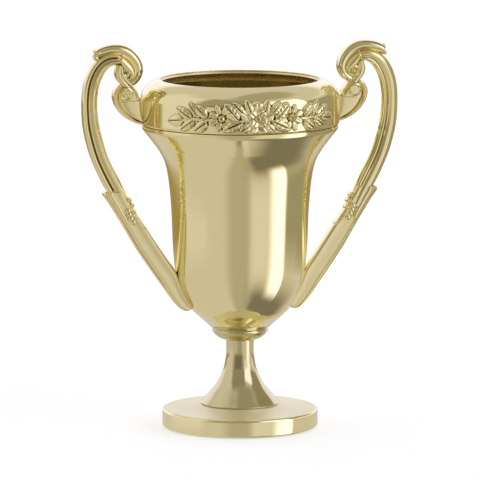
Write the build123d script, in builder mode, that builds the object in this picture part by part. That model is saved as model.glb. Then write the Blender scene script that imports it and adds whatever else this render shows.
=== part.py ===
from build123d import *
import os
from math import cos, radians, sin

os.makedirs("parts", exist_ok=True)

# ---------------------------------------------------------------------------
# Two-handled award cup.  Millimetres, +Z up, origin on the ground at the
# middle of the foot.  The handles lie in the XZ plane, the front is -Y.
# ---------------------------------------------------------------------------

# Overall sizes
TOTAL_HEIGHT = 133.5      # ground to the top of the handle scrolls
HANDLE_REACH = 55.0       # axis to the outermost point of a handle
WALL = 1.2                # moulded shell thickness

# Foot
FOOT_R = 26.9
FOOT_BOTTOM = 0.3         # the felt pad stands this much proud of the rim
FOOT_RIM_TOP = 6.3
FOOT_RIM_WALL = 1.5
FOOT_RIM_ROUND = 0.7
FOOT_SEAT_Z = 8.0         # where the stem stands on the foot
FOOT_CAVITY_TOP = 4.9
WELL_R = 8.2              # clearance for the lower nut inside the foot
WELL_TOP = 6.9
PAD_R = 25.0
PAD_T = 1.0
WEIGHT_R = 25.0
WEIGHT_BOTTOM = 1.2

# Stem and knop
STEM_R = 4.8
STEM_FOOT_R = 13.5
STEM_FOOT_WALL = 1.8
STEM_TOP = 30.2
STEM_CAVITY_TOP = 25.0    # the stem is solid round the rod above this height
KNOP_R = 9.65
KNOP_NECK_R = 5.6
KNOP_CROWN_R = 9.3
KNOP_WIDEST_Z = 33.5
KNOP_TOP = 34.4

# Bowl
BOWL_FLOOR_Z = 36.4
BOWL_NECK_R = 10.0
SPIGOT_TOP = 108.0        # the bowl's spigot reaches up inside the collar
SPIGOT_WALL = 1.0

# Collar
COLLAR_R = 34.2
COLLAR_BOTTOM = 104.6
COLLAR_BAND_TOP = 114.5   # the shoulder starts to turn in here
COLLAR_EDGE_ROUND = 0.4
MOUTH_R = 27.5
MOUTH_Z = 120.7
SHOULDER_RX = COLLAR_R - MOUTH_R
SHOULDER_RZ = MOUTH_Z - COLLAR_BAND_TOP
COLLAR_BORE_R = COLLAR_R - WALL
RELIEF_Z = 109.8          # height of the wreath's middle line
RELIEF_PROUD = 0.7        # how far the leaves stand out of the band
ROSE_PROUD = 1.05
RELIEF_ROOT = 0.5         # how far they are sunk into it
FLOWER_DRAFT = 12.0       # the flowers' sides lean in by this angle

# Tie rod and its hardware (M4)
ROD_R = 2.0
ROD_HOLE_R = 2.2
ROD_BOTTOM = 1.4
ROD_TOP = 43.0
ROD_CHAMFER = 0.4
NUT_AF = 7.0              # across flats
NUT_H = 3.2
NUT_CORNER = 0.25         # how far the broken corners stand beyond the flats
WASHER_R = 4.5
WASHER_T = 0.8
SEAL_R = 5.5
SEAL_T = 0.8
SPRING_R = 3.6
SPRING_T = 1.0

# Handles and their screws (M2.5)
HANDLE_T = 5.4            # thickness of the arm, along Y
HANDLE_EDGE = 1.1         # edge rounding of the arm
SHORTEST_ROUNDED = 12.0   # only the arm's and the wedge's long edges are rounded
SCREW_R = 1.25
SCREW_HOLE_R = 1.35
THREAD_GAP = 0.03
SCREW_HEAD_R = 2.2
SCREW_HEAD_H = 1.5
SCREW_LEN = 5.0           # thread in the handle
SCREW_PILOT_EXTRA = 0.5   # the hole in the handle runs on this far at both ends
COLLAR_HOLE_REACH = 2.4   # screw holes are cut this far to each side of the wall
BOWL_HOLE_REACH = 3.6
SCREW_WASHER_R = 2.6
SCREW_WASHER_T = 0.4
UPPER_SCREW_Z = 111.5
LOWER_SCREW_Z = 48.0
LOWER_SCREW_R = 20.2      # outside radius of the bowl at that height
LOWER_SCREW_TILT = 21.0   # the bowl's wall leans out by this angle there
UPPER_STACK = 1.35        # outside of the wall to the washer
LOWER_STACK = 1.6
SIDES = (0, 180)          # turn round the axis of the right and the left handle

# Side of the bowl, as (outside radius, height) from the bottom up
BOWL_NECK = (BOWL_NECK_R, KNOP_TOP)
BOWL_BOTTOM_END = (16.4, 40.4)    # end of the straight slope above the neck
BOWL_BELLY = (22.8, 57.5)         # the bottom has rounded into the wall here
BOWL_WAIST = (23.5, 72.0)
BOWL_COVE_START = (24.6, 86.0)    # the wall starts to flare here
BOWL_COVE = (26.5, 93.6)
BOWL_COVE_END = (28.7, 97.3)
BOWL_RIM = (33.6, 103.7)

# Side of the stem above its foot, from the top down
STEM_OUTSIDE = [(STEM_R + 0.1, STEM_TOP), (STEM_R, 25.5), (5.6, 20.0), (8.2, 15.0), (12.2, 11.0)]
STEM_FOOT_OUTSIDE = [(12.2, 11.0), (13.2, 9.8), (STEM_FOOT_R, FOOT_SEAT_Z)]
STEM_INSIDE = [
    (STEM_FOOT_R - STEM_FOOT_WALL, FOOT_SEAT_Z),
    (6.6, 14.2),
    (4.0, 19.0),
    (ROD_HOLE_R, STEM_CAVITY_TOP),
]

# Wreath leaves on one half of the front.  Each is (degrees round from the
# middle of the front, height above the middle line, length, width, tilt).
LEAVES = [
    (5.5, 4.2, 4.6, 2.4, 60),
    (7.5, -3.4, 4.4, 2.4, -55),
    (13.0, 3.2, 5.6, 2.8, 35),
    (12.5, -3.0, 5.8, 2.6, -30),
    (28.5, 2.9, 4.4, 2.4, 50),
    (27.5, -2.9, 4.4, 2.4, -50),
    (35.5, 2.7, 4.6, 2.4, 40),
    (34.0, -2.3, 4.4, 2.4, -40),
    (43.5, 2.4, 4.6, 2.2, 30),
    (42.0, -2.2, 4.4, 2.2, -25),
    (51.0, -0.4, 4.8, 2.8, 5),
]
DAISY_ANGLE = 20.0
DAISY_D = 6.6
ROSE_D = 9.6

# Handle outline, one handle, as (distance from the axis, height).
# Outer edge of the arm, from the scroll's back down to the step.
ARM_OUTSIDE = [
    (51.6, 129.5),
    (53.2, 124.3),
    (54.7, 118.2),
    (HANDLE_REACH, 112.8),
    (54.6, 105.2),
    (52.8, 97.0),
    (50.2, 90.0),
    (48.0, 84.6),
]
# Inner edge of the arm, from the top of the slit down to the knuckle.
ARM_INSIDE = [
    (44.9, 125.6),
    (47.6, 121.2),
    (49.1, 115.0),
    (48.8, 105.4),
    (46.7, 97.0),
    (43.4, 89.5),
    (39.5, 83.4),
]
STEP = [(48.2, 82.4), (47.2, 79.0)]
WEDGE_TOP_OUT = (43.6, 73.6)
WEDGE_END_OUT = (22.6, 42.4)
WEDGE_TIP = (17.0, 39.6)
WEDGE_IN_BOWL = (19.0, 50.0)
WEDGE_TOP_IN = (33.4, 72.2)
KNUCKLE = [(35.2, 75.0), (36.0, 79.2)]
# Scroll head: crest of the scroll, its inner curl, and the neck below it.
SCROLL = [
    (51.6, 129.5),
    (50.6, 131.8),
    (46.0, TOTAL_HEIGHT),
    (40.5, 133.2),
    (35.6, 130.4),
    (33.5, 126.2),
    (34.2, 122.0),
    (36.4, 119.0),
]
# Lower curl: runs from the neck round the bulb to the pad on the collar.
BULB = [
    (43.8, 124.0),
    (43.2, 120.2),
    (44.3, 115.6),
    (43.2, 111.0),
    (39.8, 107.4),
    (35.6, 105.6),
]
PAD_IN = 33.6             # the pad is cut back to the collar's own surface
PAD_OUT = 36.2
HANDLE_PAD_Z = (105.8, 115.4)
PAD_WIDTH = 8.0
PAD_SINK = 1.2            # the pad starts this far inside, before it is cut back
CURL_CENTRES = [(39.0, 126.4, 4.2), (39.4, 115.6, 4.4)]
CURL_T = 6.6
BEADS = [(37.6, 82.2, 1.4), (36.6, 79.0, 1.6), (35.8, 75.8, 1.4), (34.6, 73.0, 1.5)]
BEAD_T = 6.0


def draw_bowl_side(wall=0.0):
    """Draw the side of the bowl from neck to rim, moved towards the axis by a wall."""

    def shifted(point):
        return (point[0] - wall, point[1] + wall / 2)

    Line(shifted(BOWL_NECK), shifted(BOWL_BOTTOM_END))
    Spline(shifted(BOWL_BOTTOM_END), shifted(BOWL_BELLY), tangents=[(1.6, 1.5), (0.03, 1)])
    Spline(
        shifted(BOWL_BELLY),
        shifted(BOWL_WAIST),
        shifted(BOWL_COVE_START),
        tangents=[(0.03, 1), (0.1, 1)],
    )
    Spline(
        shifted(BOWL_COVE_START),
        shifted(BOWL_COVE),
        shifted(BOWL_COVE_END),
        tangents=[(0.1, 1), (4.9, 6.4)],
    )
    Line(shifted(BOWL_COVE_END), shifted(BOWL_RIM))
    return shifted(BOWL_NECK), shifted(BOWL_RIM)


def outward_plane(turn, radius, height, tilt=0.0):
    """A plane on the cup's side at a given turn, its z axis pointing outwards."""
    across = cos(radians(tilt))
    return Plane(
        origin=(radius * cos(radians(turn)), radius * sin(radians(turn)), height),
        x_dir=(-sin(radians(turn)), cos(radians(turn)), 0),
        z_dir=(across * cos(radians(turn)), across * sin(radians(turn)), -sin(radians(tilt))),
    )


def relief_leaf(direction, rise, length, width, tilt):
    """A raised pointed leaf of the wreath, sunk a little into the band."""
    with BuildPart() as leaf:
        seat = outward_plane(direction, COLLAR_R - RELIEF_ROOT, RELIEF_Z + rise)
        along = seat.x_dir * cos(radians(tilt)) + seat.y_dir * sin(radians(tilt))
        with BuildSketch(Plane(origin=seat.origin, x_dir=along, z_dir=seat.z_dir)):
            with BuildLine():
                ThreePointArc((-length / 2, 0), (0, width / 2), (length / 2, 0))
                ThreePointArc((length / 2, 0), (0, -width / 2), (-length / 2, 0))
            make_face()
        extrude(amount=RELIEF_ROOT + RELIEF_PROUD)
    return leaf.part


def relief_flower(direction, diameter, proud):
    """A raised round flower of the wreath, with sides that lean in."""
    with BuildPart() as flower:
        with BuildSketch(outward_plane(direction, COLLAR_R - RELIEF_ROOT, RELIEF_Z)):
            Circle(diameter / 2)
        extrude(amount=RELIEF_ROOT + proud, taper=FLOWER_DRAFT)
    return flower.part


# ---------------------------------------------------------------------------
# Foot: a shallow moulded shell with a seat for the stem
# ---------------------------------------------------------------------------
with BuildPart() as foot:
    with BuildSketch(Plane.XZ):
        with BuildLine():
            Polyline(
                (ROD_HOLE_R, WELL_TOP),
                (WELL_R, WELL_TOP),
                (WELL_R, FOOT_CAVITY_TOP),
                (FOOT_R - FOOT_RIM_WALL, FOOT_CAVITY_TOP),
                (FOOT_R - FOOT_RIM_WALL, FOOT_BOTTOM),
                (FOOT_R, FOOT_BOTTOM),
                (FOOT_R, FOOT_RIM_TOP),
                (STEM_FOOT_R, FOOT_SEAT_Z),
                (ROD_HOLE_R, FOOT_SEAT_Z),
                close=True,
            )
        make_face()
    revolve(axis=Axis.Z)
    rim_edge = foot.edges().filter_by(GeomType.CIRCLE).sort_by(SortBy.RADIUS)[-2:].sort_by(Axis.Z)[-1]
    fillet(rim_edge, FOOT_RIM_ROUND)
foot.part.label = "foot"

# Steel ring glued under the foot, for a low centre of gravity
with BuildPart() as foot_weight:
    with BuildSketch(Plane.XY.offset(WEIGHT_BOTTOM)):
        Circle(WEIGHT_R)
        Circle(WELL_R, mode=Mode.SUBTRACT)
    extrude(amount=FOOT_CAVITY_TOP - WEIGHT_BOTTOM)
foot_weight.part.label = "foot_weight"

# Felt pad that the cup stands on
with BuildPart() as base_pad:
    with BuildSketch():
        Circle(PAD_R)
    extrude(amount=PAD_T)
base_pad.part.label = "base_pad"

# ---------------------------------------------------------------------------
# Stem: a slender tube that flares like a trumpet on to the foot
# ---------------------------------------------------------------------------
with BuildPart() as stem:
    with BuildSketch(Plane.XZ):
        with BuildLine():
            Line((ROD_HOLE_R, STEM_TOP), STEM_OUTSIDE[0])
            Spline(*STEM_OUTSIDE, tangents=[(0, -1), (1, -0.75)])
            Spline(*STEM_FOOT_OUTSIDE, tangents=[(1, -0.75), (0, -1)])
            Line(STEM_FOOT_OUTSIDE[-1], STEM_INSIDE[0])
            Spline(*STEM_INSIDE, tangents=[(-1, 0.9), (0, 1)])
            Line(STEM_INSIDE[-1], (ROD_HOLE_R, STEM_TOP))
        make_face()
    revolve(axis=Axis.Z)
stem.part.label = "stem"

# Knop: the rounded ring between the stem and the bowl
with BuildPart() as knop:
    with BuildSketch(Plane.XZ):
        with BuildLine():
            Polyline(
                (ROD_HOLE_R, KNOP_TOP),
                (ROD_HOLE_R, STEM_TOP),
                (KNOP_NECK_R, STEM_TOP),
            )
            Spline(
                (KNOP_NECK_R, STEM_TOP),
                (8.4, 31.6),
                (KNOP_R, KNOP_WIDEST_Z),
                tangents=[(1, 0.25), (0.1, 1)],
            )
            Line((KNOP_R, KNOP_WIDEST_Z), (KNOP_CROWN_R, KNOP_TOP))
            Line((KNOP_CROWN_R, KNOP_TOP), (ROD_HOLE_R, KNOP_TOP))
        make_face()
    revolve(axis=Axis.Z)
knop.part.label = "knop"

# ---------------------------------------------------------------------------
# Bowl: a tall straight cup with a rounded bottom and a flaring rim
# ---------------------------------------------------------------------------
with BuildPart() as bowl:
    with BuildSketch(Plane.XZ):
        with BuildLine():
            outer_neck, outer_rim = draw_bowl_side()
            inner_neck, inner_rim = draw_bowl_side(WALL)
            Polyline(
                outer_rim,
                (outer_rim[0], COLLAR_BOTTOM),
                (COLLAR_BORE_R, COLLAR_BOTTOM),
                (COLLAR_BORE_R, SPIGOT_TOP),
                (COLLAR_BORE_R - SPIGOT_WALL, SPIGOT_TOP),
                (COLLAR_BORE_R - SPIGOT_WALL, COLLAR_BOTTOM),
                inner_rim,
            )
            Polyline(
                inner_neck,
                (inner_neck[0], BOWL_FLOOR_Z),
                (ROD_HOLE_R, BOWL_FLOOR_Z),
                (ROD_HOLE_R, KNOP_TOP),
                outer_neck,
            )
        make_face()
    revolve(axis=Axis.Z)
    for turn in SIDES:
        with BuildSketch(outward_plane(turn, LOWER_SCREW_R, LOWER_SCREW_Z, LOWER_SCREW_TILT)):
            Circle(SCREW_HOLE_R)
        extrude(amount=BOWL_HOLE_REACH, both=True, mode=Mode.SUBTRACT)
bowl.part.label = "bowl"

# ---------------------------------------------------------------------------
# Collar: the band round the mouth, with its shoulder and the flower wreath
# ---------------------------------------------------------------------------
# The wreath is moulded with the band, on the front and on the back
wreath = []
for front in (-90, 90):
    wreath.append(relief_flower(front, ROSE_D, ROSE_PROUD))
    for half in (-1, 1):
        wreath.append(relief_flower(front + half * DAISY_ANGLE, DAISY_D, RELIEF_PROUD))
        for angle, rise, length, width, tilt in LEAVES:
            direction = front + half * angle
            wreath.append(relief_leaf(direction, rise, length, width, half * tilt))

with BuildPart() as collar:
    with BuildSketch(Plane.XZ):
        with BuildLine():
            Line((COLLAR_BORE_R, COLLAR_BOTTOM), (COLLAR_R, COLLAR_BOTTOM))
            Line((COLLAR_R, COLLAR_BOTTOM), (COLLAR_R, COLLAR_BAND_TOP))
            EllipticalCenterArc((MOUTH_R, COLLAR_BAND_TOP), SHOULDER_RX, SHOULDER_RZ, arc_size=90)
            Line((MOUTH_R, MOUTH_Z), (MOUTH_R, MOUTH_Z - WALL))
            EllipticalCenterArc(
                (MOUTH_R, COLLAR_BAND_TOP), SHOULDER_RX - WALL, SHOULDER_RZ - WALL, arc_size=90
            )
            Line((COLLAR_BORE_R, COLLAR_BAND_TOP), (COLLAR_BORE_R, COLLAR_BOTTOM))
        make_face()
    revolve(axis=Axis.Z)
    lower_edge = collar.edges().filter_by(GeomType.CIRCLE).group_by(Axis.Z)[0].sort_by(SortBy.RADIUS)[-1]
    fillet(lower_edge, COLLAR_EDGE_ROUND)

    for turn in SIDES:
        with BuildSketch(outward_plane(turn, COLLAR_BORE_R, UPPER_SCREW_Z)):
            Circle(SCREW_HOLE_R)
        extrude(amount=COLLAR_HOLE_REACH, both=True, mode=Mode.SUBTRACT)
    for motif in wreath:
        add(motif)
collar.part.label = "collar"

# ---------------------------------------------------------------------------
# Handles: one flat moulding used twice, turned half round for the other side
# ---------------------------------------------------------------------------
# Everything inside the cup's outer surface, used to shape the handle's ends
with BuildPart() as cup_envelope:
    with BuildSketch(Plane.XZ):
        with BuildLine():
            outer_neck, outer_rim = draw_bowl_side()
            Polyline(
                outer_rim,
                (outer_rim[0], COLLAR_BOTTOM),
                (COLLAR_R, COLLAR_BOTTOM),
                (COLLAR_R, MOUTH_Z),
                (0, MOUTH_Z),
                (0, KNOP_TOP),
                outer_neck,
            )
        make_face()
    revolve(axis=Axis.Z)

upper_screw = outward_plane(0, COLLAR_R, UPPER_SCREW_Z)
lower_screw = outward_plane(0, LOWER_SCREW_R, LOWER_SCREW_Z, LOWER_SCREW_TILT)

with BuildPart() as handle:
    # Arm, step, knuckle and the wedge that leans on the bowl
    with BuildSketch(Plane.XZ):
        with BuildLine():
            Line(ARM_INSIDE[0], ARM_OUTSIDE[0])
            Spline(*ARM_OUTSIDE)
            Polyline(
                ARM_OUTSIDE[-1],
                *STEP,
                WEDGE_TOP_OUT,
                WEDGE_END_OUT,
                WEDGE_TIP,
                WEDGE_IN_BOWL,
                WEDGE_TOP_IN,
                *KNUCKLE,
                ARM_INSIDE[-1],
            )
            Spline(*ARM_INSIDE)
        make_face()
    extrude(amount=HANDLE_T / 2, both=True)
    rim_edges = handle.faces().filter_by(Axis.Y).edges()
    fillet(rim_edges.filter_by(lambda edge: edge.length > SHORTEST_ROUNDED), HANDLE_EDGE)

    # Scroll head, with the neck and the lower curl that ends in the pad
    with BuildSketch(Plane.XZ):
        with BuildLine():
            Spline(*SCROLL)
            Line(SCROLL[-1], (PAD_IN, HANDLE_PAD_Z[1]))
            Line((PAD_IN, HANDLE_PAD_Z[1]), (PAD_IN, HANDLE_PAD_Z[0]))
            Line((PAD_IN, HANDLE_PAD_Z[0]), BULB[-1])
            Spline(*reversed(BULB))
            Line(BULB[0], ARM_INSIDE[0])
            Line(ARM_INSIDE[0], SCROLL[0])
        make_face()
    extrude(amount=HANDLE_T / 2, both=True)

    for reach, height, radius in CURL_CENTRES:
        with BuildSketch(Plane.XZ):
            with Locations((reach, height)):
                Circle(radius)
        extrude(amount=CURL_T / 2, both=True)
    for reach, height, radius in BEADS:
        with BuildSketch(Plane.XZ):
            with Locations((reach, height)):
                Circle(radius)
        extrude(amount=BEAD_T / 2, both=True)
    with BuildSketch(Plane.XY.offset(HANDLE_PAD_Z[0])):
        with Locations(((PAD_IN + PAD_OUT - PAD_SINK) / 2, 0)):
            Rectangle(PAD_OUT - PAD_IN + PAD_SINK, PAD_WIDTH)
    extrude(amount=HANDLE_PAD_Z[1] - HANDLE_PAD_Z[0])

    add(cup_envelope.part, mode=Mode.SUBTRACT)
    for seat in (upper_screw, lower_screw):
        with BuildSketch(seat.offset(-SCREW_PILOT_EXTRA)):
            Circle(SCREW_R + THREAD_GAP)
        extrude(amount=SCREW_LEN + 2 * SCREW_PILOT_EXTRA, mode=Mode.SUBTRACT)

for name, turn in (("handle_right", 0), ("handle_left", 180)):
    with BuildPart() as placed:
        add(handle.part.rotate(Axis.Z, turn))
    placed.part.label = name
    export_step(placed.part, f"parts/{name}.step")

# Screws through the cup's wall into the handles, heads inside the cup
seats = []
for turn in SIDES:
    seats.append((outward_plane(turn, COLLAR_R, UPPER_SCREW_Z), UPPER_STACK))
    seats.append((outward_plane(turn, LOWER_SCREW_R, LOWER_SCREW_Z, LOWER_SCREW_TILT), LOWER_STACK))

with BuildPart() as handle_washers:
    for seat, stack in seats:
        with BuildSketch(seat.offset(-stack - SCREW_WASHER_T)):
            Circle(SCREW_WASHER_R)
            Circle(SCREW_HOLE_R, mode=Mode.SUBTRACT)
        extrude(amount=SCREW_WASHER_T)
handle_washers.part.label = "handle_washers"

with BuildPart() as handle_screws:
    for seat, stack in seats:
        under_head = -stack - SCREW_WASHER_T
        with BuildSketch(seat.offset(under_head - SCREW_HEAD_H)):
            Circle(SCREW_HEAD_R)
        extrude(amount=SCREW_HEAD_H)
        with BuildSketch(seat.offset(under_head)):
            Circle(SCREW_R)
        extrude(amount=SCREW_LEN - under_head)
handle_screws.part.label = "handle_screws"

# ---------------------------------------------------------------------------
# Tie rod: clamps foot, stem, knop and bowl together along the axis
# ---------------------------------------------------------------------------
with BuildPart() as tie_rod:
    with BuildSketch(Plane.XY.offset(ROD_BOTTOM)):
        Circle(ROD_R)
    extrude(amount=ROD_TOP - ROD_BOTTOM)
    chamfer(tie_rod.edges().filter_by(GeomType.CIRCLE), ROD_CHAMFER)
tie_rod.part.label = "tie_rod"


def write_ring(name, bottom, height, radius):
    """A flat washer round the tie rod."""
    with BuildPart() as ring:
        with BuildSketch(Plane.XY.offset(bottom)):
            Circle(radius)
            Circle(ROD_HOLE_R, mode=Mode.SUBTRACT)
        extrude(amount=height)
    ring.part.label = name
    export_step(ring.part, f"parts/{name}.step")


def write_nut(name, bottom):
    """A hexagon nut on the tie rod, its corners broken by a chamfer."""
    with BuildPart() as nut:
        with BuildSketch(Plane.XY.offset(bottom)):
            RegularPolygon(NUT_AF / 2, 6, major_radius=False)
            Circle(ROD_R, mode=Mode.SUBTRACT)
        extrude(amount=NUT_H)
        with BuildSketch(Plane.XY.offset(bottom)):
            Circle(NUT_AF / 2 + NUT_CORNER)
        extrude(amount=NUT_H, mode=Mode.INTERSECT)
    nut.part.label = name
    export_step(nut.part, f"parts/{name}.step")


seal_top = BOWL_FLOOR_Z + SEAL_T
write_ring("seal_washer", BOWL_FLOOR_Z, SEAL_T, SEAL_R)
write_ring("top_washer", seal_top, WASHER_T, WASHER_R)
write_nut("top_nut", seal_top + WASHER_T)
write_ring("bottom_washer", WELL_TOP - WASHER_T, WASHER_T, WASHER_R)
write_ring("spring_washer", WELL_TOP - WASHER_T - SPRING_T, SPRING_T, SPRING_R)
write_nut("bottom_nut", WELL_TOP - WASHER_T - SPRING_T - NUT_H)

for piece in (
    foot,
    foot_weight,
    base_pad,
    stem,
    knop,
    bowl,
    collar,
    tie_rod,
    handle_screws,
    handle_washers,
):
    export_step(piece.part, f"parts/{piece.part.label}.step")
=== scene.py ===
import math
from math import cos, pi, radians, sin

import bpy
import numpy as np
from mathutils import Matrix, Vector


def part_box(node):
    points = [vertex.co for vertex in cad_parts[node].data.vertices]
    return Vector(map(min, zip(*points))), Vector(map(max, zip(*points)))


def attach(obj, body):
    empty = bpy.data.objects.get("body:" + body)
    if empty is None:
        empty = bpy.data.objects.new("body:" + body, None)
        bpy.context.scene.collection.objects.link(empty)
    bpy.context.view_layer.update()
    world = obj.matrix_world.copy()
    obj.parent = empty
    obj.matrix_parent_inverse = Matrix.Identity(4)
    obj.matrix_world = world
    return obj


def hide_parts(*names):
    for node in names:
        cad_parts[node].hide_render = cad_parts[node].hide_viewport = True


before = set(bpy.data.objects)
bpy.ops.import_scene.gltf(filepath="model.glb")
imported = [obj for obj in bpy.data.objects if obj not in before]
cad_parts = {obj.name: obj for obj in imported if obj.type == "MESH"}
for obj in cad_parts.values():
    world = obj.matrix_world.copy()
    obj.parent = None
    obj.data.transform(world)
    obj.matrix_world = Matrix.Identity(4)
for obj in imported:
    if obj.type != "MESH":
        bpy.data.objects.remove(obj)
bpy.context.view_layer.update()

# ------------------------------
# Sizes.  Outlines are written in millimetres, as (distance from the cup's
# axis, height), and become metres when a mesh is made from them.
# ------------------------------
MM = 0.001
TURN_STEPS = 288          # facets round a turned piece
CREASE = radians(38)      # edges sharper than this stay crisp


def node_box(node):
    """A CAD node's lowest and highest corners, in millimetres."""
    low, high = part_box(node)
    return [value / MM for value in low], [value / MM for value in high]


def reach_x(node):
    """How far a CAD node reaches from the cup's axis along X."""
    return node_box(node)[1][0]


def span_z(node):
    """The heights of a CAD node's bottom and top."""
    low, high = node_box(node)
    return low[2], high[2]


FOOT_R = reach_x("foot")
FOOT_BOTTOM, FOOT_SEAT = span_z("foot")
STEM_TOP = span_z("stem")[1]
STEM_FOOT_R = reach_x("stem")
KNOP_R = reach_x("knop")
KNOP_TOP = span_z("knop")[1]
BOWL_SPIGOT_TOP = span_z("bowl")[1]
COLLAR_R = reach_x("collar")
COLLAR_BOTTOM, MOUTH_Z = span_z("collar")

WALL = 1.2                # thickness of the moulded walls
ROD_HOLE_R = 2.2          # clearance hole for the tie rod
MOUTH_R = 27.5
BORE_R = COLLAR_R - WALL
BAND_TOP = 114.5          # the collar's straight band ends and its shoulder starts
SHOULDER_TURN = 68.0      # how far the shoulder turns over towards the mouth, degrees
SLIT_TOP = 105.3          # a shadow gap runs round between the band and the bowl
SLIT_DEPTH = 0.6


# ------------------------------
# Curves
# ------------------------------
def spline(points, count):
    """Points on a smooth curve, a natural cubic spline, through the given ones."""
    knots = np.array(points, float)
    chord = np.linalg.norm(np.diff(knots, axis=0), axis=1) ** 0.5
    place = np.concatenate(([0.0], np.cumsum(chord)))
    last = len(knots) - 1
    system = np.eye(last + 1)
    right = np.zeros_like(knots)
    for i in range(1, last):
        before, after = chord[i - 1], chord[i]
        system[i, i - 1 : i + 2] = before, 2 * (before + after), after
        rise = (knots[i + 1] - knots[i]) / after - (knots[i] - knots[i - 1]) / before
        right[i] = 6 * rise
    bend = np.linalg.solve(system, right)
    curve = []
    for at in np.linspace(0, place[-1], count):
        i = min(int(np.searchsorted(place, at, side="right")) - 1, last - 1)
        step, ahead, behind = chord[i], place[i + 1] - at, at - place[i]
        point = (bend[i] * ahead**3 + bend[i + 1] * behind**3) / (6 * step)
        point += (knots[i] / step - bend[i] * step / 6) * ahead
        point += (knots[i + 1] / step - bend[i + 1] * step / 6) * behind
        curve.append(point)
    return np.array(curve)


def travelled(curve):
    """How far along the curve each of its points lies."""
    return np.concatenate(([0], np.cumsum(np.linalg.norm(np.diff(curve, axis=0), axis=1))))


def even(curve, count):
    """The same curve with its points spread evenly along its length."""
    lengths = travelled(curve)
    wanted = np.linspace(0, lengths[-1], count)
    return np.stack([np.interp(wanted, lengths, curve[:, k]) for k in range(curve.shape[1])], 1)


def smooth(points, count):
    """Points spread evenly by length on a smooth curve through the given ones."""
    return even(spline(points, count * 6), count)


def arc(centre, radius, start, end, count=8):
    """Points on an arc or, with two radii, on part of an ellipse."""
    across, up = radius if isinstance(radius, tuple) else (radius, radius)
    angles = np.radians(np.linspace(start, end, count))
    return np.stack([centre[0] + across * np.cos(angles), centre[1] + up * np.sin(angles)], 1)


def outline(*parts):
    """One list of points from several curves and single points, without repeats."""
    points = []
    for part in parts:
        rows = part if isinstance(part, np.ndarray) else np.array([part], float)
        for row in rows:
            if not points or np.linalg.norm(row - points[-1]) > 1e-4:
                points.append(row)
    return np.array(points)


# ------------------------------
# Meshes
# ------------------------------
def mesh_object(name, points, faces, material):
    """A new object in the scene, from points in metres."""
    mesh = bpy.data.meshes.new(name)
    mesh.from_pydata(points, [], faces)
    mesh.validate()
    mesh.materials.append(material)
    thing = bpy.data.objects.new(name, mesh)
    bpy.context.collection.objects.link(thing)
    return thing


def mark_points(thing, name, values):
    """Gives each vertex a number that a material can read by its name."""
    marks = thing.data.attributes.new(name, "FLOAT", "POINT")
    marks.data.foreach_set("value", np.array(values, np.float32))


def face_outwards(piece):
    """Turns every face's front to the outside."""
    for other in bpy.context.selected_objects:
        other.select_set(False)
    piece.select_set(True)
    bpy.context.view_layer.objects.active = piece
    bpy.ops.object.mode_set(mode="EDIT")
    bpy.ops.mesh.select_all(action="SELECT")
    bpy.ops.mesh.normals_make_consistent(inside=False)
    bpy.ops.object.mode_set(mode="OBJECT")


def make_piece(name, vertices, faces, material, stands_for=(), recess=None):
    """
    A smooth-shaded plated piece that rides on the cup, from points in millimetres.

    Recess says how deep in a hollow each vertex lies, from 0 to 1, and so how much painted shade
    the gold gives it there.
    """
    points = [tuple(value * MM for value in vertex) for vertex in vertices]
    piece = mesh_object(name, points, faces, material)
    face_outwards(piece)
    for polygon in piece.data.polygons:
        polygon.use_smooth = True
    piece.data.set_sharp_from_angle(angle=CREASE)
    if recess is not None:
        mark_points(piece, "recess", recess)
    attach(piece, "root")
    if stands_for:
        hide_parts(*stands_for)
    return piece


def repaint(piece, material, chosen):
    """
    Gives another finish, or a painted-light copy of the gold, to the chosen faces.

    Chosen takes a face's distance from the axis and height, and how far its
    normal points away from the axis and upwards.
    """
    mesh = piece.data
    mesh.materials.append(material)
    for face in mesh.polygons:
        centre = face.center / MM
        radius = math.hypot(centre.x, centre.y)
        outward = (face.normal.x * centre.x + face.normal.y * centre.y) / radius
        if chosen(radius, centre.z, outward, face.normal.z):
            face.material_index = len(mesh.materials) - 1


def ring_faces(rows, steps):
    """Faces of a closed outline of some rows of points, carried once round in steps."""
    faces = []
    for k in range(steps):
        here, there = k * rows, (k + 1) % steps * rows
        for j in range(rows):
            n = (j + 1) % rows
            faces.append((here + j, there + j, there + n, here + n))
    return faces


def turned(profile):
    """Vertices and faces of a closed outline turned round the cup's axis."""
    vertices = []
    for k in range(TURN_STEPS):
        angle = 2 * pi * k / TURN_STEPS
        for radius, height in profile:
            vertices.append((radius * cos(angle), radius * sin(angle), height))
    return vertices, ring_faces(len(profile), TURN_STEPS)


class Shell:
    """Collects the closed surfaces that one moulded piece is made of."""

    def __init__(self):
        self.vertices = []
        self.faces = []
        self.recess = []

    def add(self, vertices, faces, recess=()):
        """Takes in one closed surface; without a recess it has no hollows."""
        start = len(self.vertices)
        self.vertices += [tuple(vertex) for vertex in vertices]
        self.recess += list(recess) or [0.0] * len(vertices)
        self.faces += [tuple(start + index for index in face) for face in faces]

    def loft(self, loops, recess=None):
        """
        Skins a row of closed loops of points and caps both ends.

        Recess says how deep in a hollow each point lies, loop by loop, and so how much painted
        shade the gold gives it.
        """
        size = len(loops[0])
        caps = [0.0, 0.0]
        depth = () if recess is None else list(np.ravel(recess)) + caps
        vertices = [tuple(point) for loop in loops for point in loop]
        faces = []
        for i in range(len(loops) - 1):
            for j in range(size):
                n = (j + 1) % size
                faces.append((i * size + j, i * size + n, (i + 1) * size + n, (i + 1) * size + j))
        for first, flip in ((0, True), ((len(loops) - 1) * size, False)):
            middle = np.mean(vertices[first : first + size], axis=0)
            vertices.append(tuple(middle))
            centre = len(vertices) - 1
            for j in range(size):
                n = (j + 1) % size
                edge = (first + j, first + n) if not flip else (first + n, first + j)
                faces.append((*edge, centre))
        self.add(vertices, faces, depth)


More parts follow.
